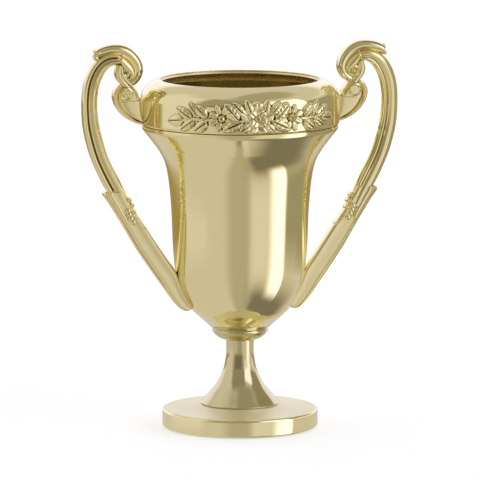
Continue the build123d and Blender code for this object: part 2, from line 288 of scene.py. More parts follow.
# ------------------------------
# Materials
# ------------------------------
class Nodes:
    """A short way to write shader nodes: each call adds one node and returns its output."""

    def __init__(self, tree):
        self.tree = tree

    def add(self, kind, inputs=None, output=0, **settings):
        node = self.tree.nodes.new(kind)
        for name, value in settings.items():
            setattr(node, name, value)
        for name, value in (inputs or {}).items():
            self.feed(node.inputs[name], value)
        return node.outputs[output]

    def feed(self, socket, value):
        """Links a node's output to the socket, or sets the socket to a plain value."""
        if isinstance(value, bpy.types.NodeSocket):
            self.tree.links.new(value, socket)
        else:
            socket.default_value = value

    def math(self, operation, *values):
        return self.add("ShaderNodeMath", dict(enumerate(values)), operation=operation)

    def object_place(self):
        return self.add("ShaderNodeTexCoord", output="Object")

    def attribute(self, name):
        return self.add("ShaderNodeAttribute", output="Fac", attribute_name=name)

    def step(self, value, start, end, low=0.0, high=1.0):
        """Goes smoothly from low to high while value goes from start to end."""
        limits = {"Value": value, "From Min": start, "From Max": end, "To Min": low, "To Max": high}
        return self.add("ShaderNodeMapRange", limits, interpolation_type="SMOOTHSTEP")

    def band(self, value, rise, full, fall, end):
        """1 between full and fall, and 0 before rise and after end."""
        up = self.step(value, rise, full)
        down = self.step(value, fall, end, 1.0, 0.0)
        return self.math("MULTIPLY", up, down)

    def blend(self, start, end, share):
        """start where share is 0, and end where it is 1."""
        gap = self.math("SUBTRACT", end, start)
        return self.math("MULTIPLY_ADD", gap, share, start)

    def noise(self, place, scale, detail=3.0, roughness=0.5):
        inputs = {"Vector": place, "Scale": scale, "Detail": detail, "Roughness": roughness}
        return self.add("ShaderNodeTexNoise", inputs)

    def bump(self, height, strength, distance):
        inputs = {"Strength": strength, "Distance": distance, "Height": height}
        return self.add("ShaderNodeBump", inputs)

    def mix_colour(self, share, first, second):
        """The first colour where share is 0, and the second where it is 1."""
        node = self.tree.nodes.new("ShaderNodeMix")
        node.data_type = "RGBA"
        sockets = [s for s in node.inputs if s.enabled]
        for socket, value in zip(sockets, (share, first, second)):
            self.feed(socket, value)
        return next(s for s in node.outputs if s.enabled)


def new_material(name):
    """An empty material with a Principled shader: (material, its nodes, the shader node)."""
    material = bpy.data.materials.new(name)
    material.use_nodes = True
    tree = material.node_tree
    shader = tree.nodes["Principled BSDF"]
    return material, Nodes(tree), shader


# Plating: fresh and warm patches cloud into each other, and the recess colour is painted shade,
# with some grime, that darkens hollows and creases.
GOLD_FRESH = (0.90, 0.83, 0.47, 1)
GOLD_WARM = (0.88, 0.80, 0.43, 1)
GOLD_PAINTED_SHADE = (0.13, 0.105, 0.035, 1)


def gold(name, roughness, ripple, fresh=GOLD_FRESH, warm=GOLD_WARM, metallic=1.0):
    """Pale gold metallising over moulded plastic, with painted shade, and some grime, darkening its
    hollows and creases.
    """
    material, nodes, shader = new_material(name)
    place = nodes.object_place()
    shader.inputs["Metallic"].default_value = metallic
    plating = nodes.mix_colour(nodes.noise(place, scale=60.0), fresh, warm)
    # Painted shade: concave creases, found by their pointiness, and the marked hollows darken
    # towards the recess colour.
    pointed = nodes.add("ShaderNodeNewGeometry", output="Pointiness")
    crease = nodes.step(pointed, start=0.40, end=0.485, low=1.0, high=0.0)
    hollow = nodes.math("MAXIMUM", crease, nodes.attribute("recess"))
    colour = nodes.mix_colour(hollow, plating, GOLD_PAINTED_SHADE)
    nodes.feed(shader.inputs["Base Color"], colour)
    smudge = nodes.noise(place, scale=140.0, detail=5.0)
    nodes.feed(shader.inputs["Roughness"], nodes.step(smudge, 0.3, 0.7, *roughness))
    waves = nodes.noise(place, scale=260.0, detail=2.0)
    nodes.feed(shader.inputs["Normal"], nodes.bump(waves, strength=0.25, distance=ripple))
    return material


def zinc_steel():
    """Zinc-plated steel hardware with a fine turned grain and a cloudy passivation."""
    material, nodes, shader = new_material("zinc_steel")
    place = nodes.object_place()
    shader.inputs["Metallic"].default_value = 1.0
    cloud = nodes.noise(place, scale=900.0, detail=6.0)
    colour = nodes.mix_colour(cloud, (0.50, 0.52, 0.54, 1), (0.72, 0.73, 0.74, 1))
    nodes.feed(shader.inputs["Base Color"], colour)
    nodes.feed(shader.inputs["Roughness"], nodes.step(cloud, 0.3, 0.7, 0.22, 0.38))
    stretch = nodes.add("ShaderNodeMapping", {"Vector": place, "Scale": (1.0, 1.0, 14.0)})
    grain = nodes.noise(stretch, scale=700.0, detail=4.0)
    nodes.feed(shader.inputs["Normal"], nodes.bump(grain, strength=0.3, distance=0.00004))
    return material


def felt():
    """Dark green felt: matted fibres with a soft nap."""
    material, nodes, shader = new_material("felt")
    place = nodes.object_place()
    fibre = nodes.noise(place, scale=2600.0, detail=8.0, roughness=0.7)
    tuft = nodes.noise(place, scale=420.0)
    mottled = nodes.math("MULTIPLY_ADD", tuft, 0.5, nodes.math("MULTIPLY", fibre, 0.5))
    colour = nodes.mix_colour(mottled, (0.010, 0.030, 0.018, 1), (0.045, 0.105, 0.062, 1))
    nodes.feed(shader.inputs["Base Color"], colour)
    shader.inputs["Roughness"].default_value = 0.95
    shader.inputs["Sheen Weight"].default_value = 0.5
    nodes.feed(shader.inputs["Normal"], nodes.bump(mottled, strength=0.8, distance=0.00015))
    return material


def rubber():
    """Black sealing rubber with a dusty bloom."""
    material, nodes, shader = new_material("rubber")
    place = nodes.object_place()
    bloom = nodes.noise(place, scale=500.0, detail=5.0)
    colour = nodes.mix_colour(bloom, (0.012, 0.012, 0.012, 1), (0.045, 0.043, 0.040, 1))
    nodes.feed(shader.inputs["Base Color"], colour)
    nodes.feed(shader.inputs["Roughness"], nodes.step(bloom, 0.3, 0.7, 0.55, 0.8))
    return material


GOLD = gold("gold_mirror", roughness=(0.05, 0.10), ripple=0.00002)
# Painted shade: a darker copy of the mirror gold for the stem and knop, standing in for the shade
# under the bowl.
GOLD_STEM_SHADED = gold(
    "gold_stem_painted_shade",
    roughness=(0.07, 0.13),
    ripple=0.00003,
    fresh=(0.70, 0.64, 0.37, 1),
    warm=(0.66, 0.59, 0.32, 1),
)
GOLD_SATIN = gold(
    "gold_satin",
    roughness=(0.34, 0.42),
    ripple=0.000004,
    fresh=(0.96, 0.93, 0.60, 1),
    warm=(0.95, 0.90, 0.56, 1),
    metallic=0.45,
)
# Painted light: a paler, partly diffuse copy of the gold that brightens the inside of the cup.
GOLD_INSIDE_LIGHTENED = gold(
    "gold_inside_painted_light",
    roughness=(0.22, 0.32),
    ripple=0.00004,
    fresh=(0.98, 0.85, 0.46, 1),
    warm=(0.95, 0.78, 0.36, 1),
    metallic=0.72,
)
ZINC = zinc_steel()
FELT = felt()
RUBBER = rubber()


# ------------------------------
# Turned pieces
# ------------------------------
def foot_profile():
    """Flat disc foot, hollow below, with a well for the bottom nut."""
    rim_wall, rim_top, rim_round, bottom_round = 1.5, 6.3, 0.9, 0.5
    cavity_top, well_r, well_top = 4.9, 8.2, 6.9
    rim = arc((FOOT_R - bottom_round, FOOT_BOTTOM + bottom_round), bottom_round, -90, 0)
    shoulder = arc((FOOT_R - rim_round, rim_top - rim_round), rim_round, 0, 84, 12)
    seat_r = STEM_FOOT_R - 0.8
    dish = smooth([shoulder[-1], (20.5, 6.62), (16.5, 7.1), (seat_r, FOOT_SEAT)], 24)
    well = outline((ROD_HOLE_R, FOOT_SEAT), (ROD_HOLE_R, well_top), (well_r, well_top))
    cavity_r = FOOT_R - rim_wall
    cavity = outline((well_r, cavity_top), (cavity_r, cavity_top), (cavity_r, FOOT_BOTTOM))
    return outline(rim, shoulder, dish, well, cavity)


def stem_profile():
    """Trumpet stem, hollow inside, that flares right down to the foot."""
    pad_r, pad_top = STEM_FOOT_R, 8.3
    flare = [
        (4.85, STEM_TOP), (4.8, 25.5), (5.25, 22.3), (5.75, 19.8), (6.6, 17.6), (7.8, 15.3),
        (9.3, 13.3), (11.0, 11.3), (12.4, 9.6), (pad_r, pad_top),
    ]
    inside = smooth([(11.7, FOOT_SEAT), (6.6, 14.2), (4.0, 19.0), (ROD_HOLE_R, 25.0)], 24)
    return outline((ROD_HOLE_R, STEM_TOP), smooth(flare, 76), (pad_r, FOOT_SEAT), inside)


def knop_profile():
    """Round collar between the stem and the bowl."""
    widest = (KNOP_R, 33.5)
    side = smooth([(5.2, STEM_TOP), (6.5, 30.6), (8.1, 31.5), (9.15, 32.6), widest], 22)
    crown = smooth([widest, (KNOP_R - 0.08, 33.9), (KNOP_R - 0.5, KNOP_TOP)], 8)
    return outline((ROD_HOLE_R, STEM_TOP), side, crown, (ROD_HOLE_R, KNOP_TOP))


def bowl_profile():
    """Thin-walled body: a round bottom, a tall slightly flared side and a wide cove."""
    lip_r, lip_low, spigot_r, spigot_wall = 33.75, 104.0, BORE_R - 0.02, 0.98
    floor_z, inner_lift = 36.4, 0.4
    cone = outline((9.0, KNOP_TOP), (9.9, KNOP_TOP + 0.1), (16.35, 40.35))
    points = [
        cone[-1], (19.4, 44.9), (21.6, 50.6), (22.75, 57.5), (23.3, 66.0), (23.6, 74.0),
        (24.1, 81.0), (24.95, 88.0), (26.35, 93.2), (28.7, 97.3),
    ]
    side = smooth(points, 96)
    flare = smooth([points[-1], (31.2, 100.6), (33.6, 103.6)], 18)
    rim = outline((lip_r, lip_low), (lip_r, COLLAR_BOTTOM), (spigot_r, COLLAR_BOTTOM))
    spigot = outline((spigot_r, BOWL_SPIGOT_TOP), (spigot_r - spigot_wall, BOWL_SPIGOT_TOP))
    inner = outline(flare[::-1], side[::-1]) + np.array([-WALL, inner_lift])
    floor = outline((11.0, 36.9), (9.0, floor_z), (ROD_HOLE_R, floor_z), (ROD_HOLE_R, KNOP_TOP))
    return outline(cone, side, flare, rim, spigot, inner, floor)


def collar_profile():
    """Straight band and a rounded shoulder that turns in to a thin rolled lip."""
    edge_round, lip_round, slit_bevel = 1.0, 0.26, 0.2
    turn = SHOULDER_TURN
    across = (COLLAR_R - MOUTH_R) / (1 - cos(radians(turn)))
    rise = (MOUTH_Z - BAND_TOP) / sin(radians(turn))
    centre = (COLLAR_R - across, BAND_TOP)
    slit_r = COLLAR_R - SLIT_DEPTH
    bevel = outline((slit_r, SLIT_TOP - slit_bevel), (slit_r + slit_bevel, SLIT_TOP))
    slit = outline((slit_r, COLLAR_BOTTOM), bevel)
    foot_edge = arc((COLLAR_R - edge_round, SLIT_TOP + edge_round), edge_round, -90, 0)
    band = even(np.array([(COLLAR_R, SLIT_TOP + edge_round), (COLLAR_R, BAND_TOP)]), 12)
    shoulder = arc(centre, (across, rise), 0, turn - 1, 40)
    lip = arc((MOUTH_R, MOUTH_Z - lip_round), lip_round, turn, 250, 14)
    inside = arc(centre, (across - WALL, rise - WALL), turn, 0, 30)
    return outline(slit, foot_edge, band, shoulder, lip, inside, (BORE_R, COLLAR_BOTTOM))


def inside_cup(radius, height, outward, upward):
    """Walls that face the axis, and the bowl's floor."""
    floor_reach, floor_below = BORE_R - 8, 60
    return outward < 0 or (radius < floor_reach and height < floor_below and upward > 0.5)


def foot_top(radius, height, outward, upward):
    """The nearly level faces on top of the foot."""
    return upward > 0.9


# node: outline, finish; the stem and knop take a darker gold that is painted shade
TURNED = {
    "foot": (foot_profile, GOLD),
    "stem": (stem_profile, GOLD_STEM_SHADED),
    "knop": (knop_profile, GOLD_STEM_SHADED),
    "bowl": (bowl_profile, GOLD),
    "collar": (collar_profile, GOLD),
}
# node: its second finish (inside the cup a paler gold that is painted light), and where that goes
REPAINTED = {
    "foot": (GOLD_SATIN, foot_top),
    "bowl": (GOLD_INSIDE_LIGHTENED, inside_cup),
    "collar": (GOLD_INSIDE_LIGHTENED, inside_cup),
}


def make_turned_pieces():
    for node, (profile, material) in TURNED.items():
        vertices, faces = turned(profile())
        piece = make_piece(node + "_shell", vertices, faces, material, [node])
        if node in REPAINTED:
            repaint(piece, *REPAINTED[node])


# ------------------------------
# Wreath: one moulded relief on the front of the collar and one on the back.
# Places are (angle in degrees from the middle of the relief, height).
# ------------------------------
RELIEF_STEP = 0.14        # fineness of the moulded surface
RELIEF_HALF_TURN = 58.0   # the patch reaches this far to either side, degrees
RELIEF_LOW, RELIEF_HIGH = 105.9, 117.6
RELIEF_BOLDNESS = 1.18    # scales the height of every motif
RELIEF_SINK = 0.22        # the ground round the wreath lies this far below the band
RELIEF_MELT = 0.04        # the ground within the wreath stands this far above the band
RELIEF_DEPTH = 0.75       # the patch's upper and lower edges reach this far behind its face
HOLLOW_SHADE_REACH = 3         # mesh steps over which a hollow is judged
HOLLOW_SHADE_DEPTH = 0.40      # a hollow this deep gets the full painted shade
WREATH_EDGE = 0.20        # ground is within the wreath where its surroundings rise this much

# Right-hand leaves, each mirrored on the left: base, tip, width, height.
LEAVES = [
    ((10.6, 110.4), (18.6, 116.0), 4.6, 1.45),
    ((8.2, 110.0), (19.8, 106.7), 4.0, 1.45),
    ((7.0, 112.0), (14.0, 116.4), 3.4, 1.30),
    ((3.6, 112.4), (6.4, 117.4), 3.2, 1.30),
    ((4.4, 109.0), (10.2, 106.1), 3.4, 1.20),
    ((28.6, 111.2), (35.4, 115.2), 3.7, 1.30),
    ((28.8, 109.6), (36.6, 106.2), 3.9, 1.30),
    ((33.4, 111.0), (40.2, 116.2), 2.9, 1.10),
    ((38.2, 110.6), (48.4, 114.2), 3.5, 1.15),
    ((36.6, 110.0), (45.6, 106.4), 3.3, 1.15),
]
END_LEAF = ((43.4, 110.0), (55.0, 109.2), 4.4, 1.10)
STALK = [(24.0, 110.6), (31.0, 110.3), (38.0, 110.4), (45.0, 109.6)]
STALK_RADIUS = 0.62
ROSE = (0.0, 110.9)
DAISIES = [(-20.2, 110.9), (20.2, 110.9)]
DAISY_PETALS = 8
LEAF_VEINS = 5            # side veins on each half of a leaf
VEIN_DEPTH = 0.045        # as a share of the leaf's height
MIDRIB_DEPTH = 0.5        # as a share of the leaf's height
MIDRIB_WIDTH = 0.2


def arc_place(place):
    """A place on the band laid flat: (millimetres round from the middle, height)."""
    angle, height = place
    return np.array([radians(angle) * COLLAR_R, height])


def leaf_height(x, z, base, tip, width, height):
    """A pointed leaf: two domed halves either side of a sunk midrib, with soft side veins."""
    start, end = arc_place(base), arc_place(tip)
    length = np.linalg.norm(end - start)
    along = (end - start) / length
    u = ((x - start[0]) * along[0] + (z - start[1]) * along[1]) / length
    v = (z - start[1]) * along[0] - (x - start[0]) * along[1]
    reach = np.clip(u, 0, 1)
    half = width / 2 * np.sin(pi * reach**0.85) ** 0.62 + 1e-6
    share = np.abs(v) / half
    body = np.clip(1 - share**2.6, 0, 1) ** 0.5 * (0.6 + 0.4 * np.sin(pi * reach) ** 0.5)
    rib = 1 - MIDRIB_DEPTH * np.exp(-((v / MIDRIB_WIDTH) ** 2)) * (reach < 0.9)
    wave = np.cos(2 * pi * (LEAF_VEINS * u - 1.1 * share)) * np.clip(share * 3, 0, 1)
    inside = (u > 0) & (u < 1) & (share < 1)
    return np.where(inside, height * body * rib * (1 + VEIN_DEPTH * wave), 0)


def petal_height(x, z, centre, angle, distance, size, height, cup):
    """
    A rounded petal that rises away from the flower's middle.

    Size is its half length and half width, and cup the share of its height
    that it gains from its inner end to its outer one.
    """
    out = np.array([cos(angle), sin(angle)])
    near = (x - centre[0]) * out[0] + (z - centre[1]) * out[1] - distance
    side = (z - centre[1]) * out[0] - (x - centre[0]) * out[1]
    reach = np.sqrt((near / size[0]) ** 2 + (side / size[1]) ** 2)
    rise = (1 - cup) + cup * np.clip((near / size[0] + 1) / 2, 0, 1)
    edge = np.clip(1 - reach**5, 0, 1) ** 0.6
    fold = 1 - 0.16 * np.exp(-((side / 0.22) ** 2))
    return np.where(reach < 1, height * rise * edge * fold, 0)


def bead_height(x, z, centre, radius, height):
    """A round dome."""
    reach = np.hypot(x - centre[0], z - centre[1]) / radius
    return height * np.sqrt(np.clip(1 - reach**2, 0, 1))


def rose_height(x, z, centre):
    """Two rings of cupped petals round a tight, dimpled bud."""
    surface = bead_height(x, z, centre, 1.2, 1.75)
    surface -= bead_height(x, z, centre, 0.55, 0.8)
    # petals, share of a petal that the ring is turned by, distance, size, height
    for count, turned_by, distance, size, height in (
        (5, 0.25, 3.6, (2.35, 2.75), 1.30),
        (4, 0.60, 2.0, (1.65, 1.85), 1.75),
    ):
        for k in range(count):
            angle = 2 * pi * (k + turned_by) / count
            lift = height * (0.86 + 0.14 * (k % 2))
            petal = petal_height(x, z, centre, angle, distance, size, lift, cup=0.68)
            surface = np.maximum(surface, petal)
    return surface


def daisy_height(x, z, centre):
    """Narrow petals round a raised, dimpled button."""
    surface = bead_height(x, z, centre, 1.3, 1.6)
    surface -= bead_height(x, z, centre, 0.5, 0.7)
    for k in range(DAISY_PETALS):
        angle = 2 * pi * (k + 0.5) / DAISY_PETALS
        distance = 2.9 if k % 2 else 3.15
        petal = petal_height(x, z, centre, angle, distance, (1.85, 1.12), 1.25, cup=0.40)
        surface = np.maximum(surface, petal)
    return surface


def stalk_height(x, z, side):
    """A round stalk: a row of domes that run into each other."""
    surface = np.zeros_like(x)
    for angle, height in smooth(STALK, 26):
        centre = arc_place((side * angle, height))
        surface = np.maximum(surface, bead_height(x, z, centre, STALK_RADIUS, STALK_RADIUS))
    return surface


def wreath_height(x, z):
    """Height of the whole relief above the band."""
    surface = rose_height(x, z, arc_place(ROSE))
    for place in DAISIES:
        surface = np.maximum(surface, daisy_height(x, z, arc_place(place)))
    for side in (-1, 1):
        surface = np.maximum(surface, stalk_height(x, z, side))
        for base, tip, width, height in (*LEAVES, END_LEAF):
            start, end = (side * base[0], base[1]), (side * tip[0], tip[1])
            surface = np.maximum(surface, leaf_height(x, z, start, end, width, height))
    return surface


def spread(surface, reach):
    """Each point's mean height over a square around it."""
    padded = np.pad(surface, reach)
    total = np.cumsum(np.cumsum(np.pad(padded, ((1, 0), (1, 0))), axis=0), axis=1)
    wide = 2 * reach + 1
    square = total[wide:, wide:] - total[:-wide, wide:] - total[wide:, :-wide]
    return (square + total[:-wide, :-wide]) / wide**2


def soften(surface):
    """Rounds a height map's sharp edges, as a mould does."""
    return (surface + spread(surface, 1)) / 2


def collar_radius(height):
    """Radius of the collar's outside at a height."""
    turn = radians(SHOULDER_TURN)
    climb = np.clip((height - BAND_TOP) / (MOUTH_Z - BAND_TOP), 0, 1) * sin(turn)
    return COLLAR_R - (COLLAR_R - MOUTH_R) * (1 - np.sqrt(1 - climb**2)) / (1 - cos(turn))


def moulded_wreath(x, z):
    """Heights of the patch from the band's surface, and how much painted shade each point gets."""
    surface = soften(wreath_height(x, z)) * RELIEF_BOLDNESS
    around = spread(surface, HOLLOW_SHADE_REACH)
    # Painted shade: points lower than their surroundings, and the bare ground between the motifs,
    # darken.
    hollow_shade = np.where(surface > 0, np.clip((around - surface) / HOLLOW_SHADE_DEPTH, 0, 1), 1)
    melted = np.maximum(surface, RELIEF_MELT)
    return np.where(around > WREATH_EDGE, melted, surface - RELIEF_SINK), hollow_shade


def make_wreath():
    half = radians(RELIEF_HALF_TURN) * COLLAR_R
    columns = int(2 * half / RELIEF_STEP)
    rows = int((RELIEF_HIGH - RELIEF_LOW) / RELIEF_STEP)
    places = np.linspace(-half, half, columns)
    heights = np.linspace(RELIEF_LOW, RELIEF_HIGH, rows)
    relief, hollow_shade = moulded_wreath(*np.meshgrid(places, heights, indexing="ij"))
    ground = collar_radius(heights)
    back = [(ground[j] - RELIEF_DEPTH, heights[j]) for j in (rows - 1, 0)]
    recess = np.concatenate((hollow_shade, np.ones((columns, len(back)))), axis=1)
    shell = Shell()
    for side in (-pi / 2, pi / 2):
        loops = []
        for i in range(columns):
            turn = places[i] / COLLAR_R + side
            front = list(zip(ground + relief[i], heights))
            loops.append([(r * cos(turn), r * sin(turn), h) for r, h in front + back])
        shell.loft(loops, recess)
    make_piece("wreath_relief", shell.vertices, shell.faces, GOLD, recess=shell.recess)


# ------------------------------
# Handles.  One moulding serves both sides: the left one is the right one given
# a half turn.  It is drawn for the right side as (distance from the cup's
# axis, height), with its thickness along Y.
# ------------------------------
ARM_HALF = 2.7            # half of the arm's thickness
GROOVE_WINDOW = 4         # section points either side over which a groove is judged
GROOVE_FULL = 0.16        # a groove this deep gets the full painted shade
GROOVE_REACH = 0.9        # nearer to a ribbon's edges nothing counts as a groove
END_SCALE = 0.02          # a rounded end closes to this share of its full size


def both_faces(section):
    """A section whose other face mirrors the one given."""
    return section + [(across, -through) for across, through in section[-2:0:-1]]


# Sections run once round: (across, through), each from -1 to 1.  Across is 1 at
# the ribbon's first edge; through is 1 on the face that the left handle shows.
ARM_SECTION = [
    (1.0, 0.0), (0.98, 0.46), (0.90, 0.82), (0.72, 0.98), (0.52, 0.97), (0.42, 0.84),
    (0.36, 0.46), (0.28, 0.40), (0.20, 0.60), (0.06, 0.74), (-0.14, 0.76), (-0.26, 0.80),
    (-0.38, 0.98), (-0.52, 1.0), (-0.64, 0.86), (-0.74, 0.52), (-0.88, 0.34), (-1.0, 0.0),
    (-0.93, -0.28), (-0.80, -0.50), (-0.62, -0.64), (-0.50, -0.66), (-0.42, -0.60),
    (-0.34, -0.68), (-0.20, -0.86), (0.05, -1.0), (0.34, -0.99), (0.60, -0.90),
    (0.74, -0.74), (0.80, -0.64), (0.85, -0.70), (0.91, -0.68), (0.98, -0.40),
]
CREST_SECTION = both_faces([
    (1.0, 0.0), (0.98, 0.52), (0.91, 0.84), (0.83, 0.90), (0.76, 0.82), (0.70, 0.76),
    (0.62, 0.82), (0.40, 0.94), (0.10, 1.0), (-0.20, 0.97), (-0.52, 0.86), (-0.80, 0.62),
    (-0.96, 0.34), (-1.0, 0.0),
])
WEDGE_SECTION = both_faces([
    (1.0, 0.0), (0.985, 0.62), (0.92, 0.93), (0.84, 0.99), (0.74, 0.86), (0.64, 0.84),
    (0.2, 0.84), (-0.3, 0.84), (-0.7, 0.86), (-0.88, 0.80), (-0.97, 0.5), (-1.0, 0.0),
])


def squared(power, count=28):
    """A rounded-rectangle section: power 2 is an ellipse, and more is squarer."""
    def swell(value):
        return math.copysign(abs(value) ** (2 / power), value)

    angles = [2 * pi * k / count for k in range(count)]
    return [(swell(cos(angle)), swell(sin(angle))) for angle in angles]


def closed_curve(points, count):
    """Points spread evenly on a smooth closed curve through the given ones."""
    wrap, fineness = 4, 40
    ring = [*points[-wrap:], *points, *points[:wrap]]
    curve = spline(ring, fineness * len(ring))
    half = len(curve) // 2
    gaps = np.linalg.norm(curve - points[0], axis=1)
    first, last = int(np.argmin(gaps[:half])), half + int(np.argmin(gaps[half:]))
    return even(curve[first : last + 1], count + 1)[:-1]


def groove_depth(shape):
    """How far each point of a section lies down in a groove, from 0 to 1, which the gold darkens as
    painted shade.
    """
    height = np.abs(shape[:, 1])
    count = len(shape)
    window = np.arange(-GROOVE_WINDOW, GROOVE_WINDOW + 1)
    near = np.array([height[(window + k) % count].mean() for k in range(count)])
    on_face = np.abs(shape[:, 0]) < GROOVE_REACH
    return np.clip((near - height) / GROOVE_FULL, 0, 1) * on_face


def end_scale(distance, rounding):
    """How much of its full size a ribbon has, this far from an end that rounds off."""
    short = max(1 - distance / rounding, 0)
    return math.sqrt(max(1 - short**2, END_SCALE**2))


def ribbon(shell, pairs, half, section, stations, around, ends):
    """
    A band between two edges in the handle's plane.

    Each row of pairs is a point on the first edge and the one across from it on
    the second.  Half is half the thickness, ends how far each end rounds off.
    """
    line = smooth([first + second for first, second in pairs], stations)
    middle = (line[:, :2] + line[:, 2:]) / 2
    travel = travelled(middle)
    shape = closed_curve(section, around)
    loops = []
    for i in range(stations):
        scale = end_scale(travel[i], ends[0]) * end_scale(travel[-1] - travel[i], ends[1])
        reach = (line[i, :2] - line[i, 2:]) / 2 * scale
        loop = []
        for across, through in shape:
            x, z = middle[i] + reach * across
            loop.append((x, through * half * scale, z))
        loops.append(loop)
    shell.loft(loops, np.tile(groove_depth(shape), stations))


def bead(shell, place, size, y=0.0, steps=20, rows=12):
    """An egg-shaped bead: size is its half width in the plane and through it."""
    loops = []
    for i in range(rows + 1):
        lift = -cos(pi * i / rows)
        ring = max(sin(pi * i / rows), END_SCALE)
        loops.append([
            (place[0] + size[0] * ring * cos(2 * pi * j / steps), y + size[1] * lift,
             place[1] + size[0] * ring * sin(2 * pi * j / steps))
            for j in range(steps)
        ])
    shell.loft(loops)


def boss(shell, centre, face, steps=48):
    """
    A round feature turned about the handle's thickness, the same on both sides.

    Face is its outline on one side, as (radius, distance from the middle plane).
    """
    profile = face + [(radius, -y) for radius, y in reversed(face)]
    vertices = []
    for k in range(steps):
        turn = 2 * pi * k / steps
        for r, y in profile:
            vertices.append((centre[0] + r * cos(turn), y, centre[1] + r * sin(turn)))
    shell.add(vertices, ring_faces(len(profile), steps))


def handle_arm(shell):
    """The long arm, which curls under the crest and ends in the scroll."""
    pairs = [
        ((41.5, 74.6), (37.6, 76.0)), ((44.7, 79.8), (39.5, 81.4)),
        ((46.6, 83.0), (41.0, 84.7)), ((48.2, 85.8), (42.6, 88.0)),
        ((49.6, 88.8), (44.2, 91.0)), ((51.4, 92.9), (46.0, 95.0)),
        ((52.9, 97.3), (47.3, 99.1)), ((54.0, 101.6), (48.4, 103.2)),
        ((54.7, 105.6), (49.1, 106.7)), ((55.0, 110.4), (49.55, 111.0)),
        ((55.0, 114.4), (49.6, 114.5)), ((54.7, 118.2), (49.2, 117.6)),
        ((53.9, 121.6), (48.5, 120.3)), ((52.5, 124.8), (47.4, 122.8)),
        ((50.5, 127.6), (46.0, 124.8)), ((48.0, 129.4), (44.7, 125.8)),
        ((45.3, 130.2), (43.5, 126.2)), ((42.6, 130.0), (42.2, 126.3)),
        ((40.6, 129.0), (41.1, 126.2)),
    ]
    ribbon(shell, pairs, ARM_HALF, ARM_SECTION, stations=210, around=84, ends=(0.8, 1.4))


def handle_lobe(shell):
    """The broad smooth lobe that closes the curl between the arm's end and the eye."""
    pairs = [
        ((43.4, 130.3), (43.0, 127.2)), ((41.4, 129.7), (41.6, 126.2)),
        ((39.2, 128.3), (41.2, 124.9)), ((37.6, 126.6), (40.6, 124.2)),
        ((36.7, 124.9), (39.3, 123.5)), ((36.5, 123.2), (38.6, 122.9)),
        ((36.9, 121.8), (38.4, 122.3)), ((37.8, 120.9), (38.7, 121.8)),
    ]
    ribbon(shell, pairs, ARM_HALF + 0.18, squared(2.0), stations=80, around=44, ends=(2.4, 0.8))


def handle_crest(shell):
    """The crest over the arm, rolling forward and down into the scroll."""
    pairs = [
        ((50.9, 130.9), (49.7, 128.5)), ((49.3, 132.1), (48.2, 129.0)),
        ((46.7, 133.1), (46.3, 129.5)), ((43.5, 133.5), (43.6, 129.8)),
        ((40.6, 133.15), (41.6, 129.3)), ((38.0, 131.9), (39.9, 128.4)),
        ((35.9, 129.9), (38.6, 127.2)), ((34.5, 127.6), (37.7, 125.9)),
        ((33.9, 125.2), (37.2, 124.6)), ((34.2, 122.9), (37.3, 123.3)),
        ((35.2, 121.0), (38.0, 122.2)), ((36.7, 119.6), (38.9, 121.4)),
        ((38.6, 119.2), (39.5, 121.1)), ((40.1, 120.0), (40.1, 121.3)),
    ]
    ribbon(shell, pairs, ARM_HALF + 0.05, CREST_SECTION, stations=140, around=84, ends=(0.5, 1.2))


def handle_scroll_eye(shell):
    """The small rolled eye in the middle of the scroll, and its hook."""
    face = [
        (0.02, 2.75), (0.5, 2.65), (0.85, 2.2), (1.05, 2.0), (1.3, 2.25), (1.7, 2.6),
        (2.05, 2.45), (2.2, 1.9),
    ]
    boss(shell, (39.5, 122.9), face)
    hook = [
        ((36.9, 124.5), (38.1, 124.0)), ((36.7, 123.0), (37.9, 123.2)),
        ((37.0, 121.6), (38.1, 122.2)), ((38.1, 120.7), (38.8, 121.7)),
        ((39.5, 120.6), (39.5, 121.6)), ((40.7, 121.3), (40.2, 122.1)),
    ]
    ribbon(shell, hook, 2.2, squared(2.4), stations=40, around=28, ends=(0.5, 0.5))


def handle_neck(shell):
    """The short neck from under the arm to the bulb, with a ridge on its inner side."""
    pairs = [
        ((43.1, 126.6), (40.9, 126.4)), ((43.6, 124.6), (41.0, 124.6)),
        ((43.7, 123.2), (40.8, 122.9)), ((43.2, 121.5), (40.1, 121.4)),
        ((42.1, 120.0), (38.9, 120.1)), ((41.2, 118.8), (37.6, 118.4)),
    ]
    ribbon(shell, pairs, 2.35, squared(2.6), stations=48, around=48, ends=(0.4, 0.4))
    ridge = [
        ((41.9, 126.0), (40.8, 126.0)), ((41.8, 124.3), (40.6, 124.4)),
        ((41.4, 122.6), (40.2, 122.9)), ((40.5, 121.2), (39.5, 121.8)),
        ((39.4, 120.0), (38.4, 120.6)), ((38.1, 118.6), (37.1, 119.3)),
        ((37.0, 117.1), (36.0, 117.5)), ((36.4, 115.4), (35.3, 115.6)),
        ((36.2, 114.0), (35.1, 114.1)),
    ]
    ribbon(shell, ridge, 2.85, squared(2.2), stations=80, around=32, ends=(0.4, 0.4))


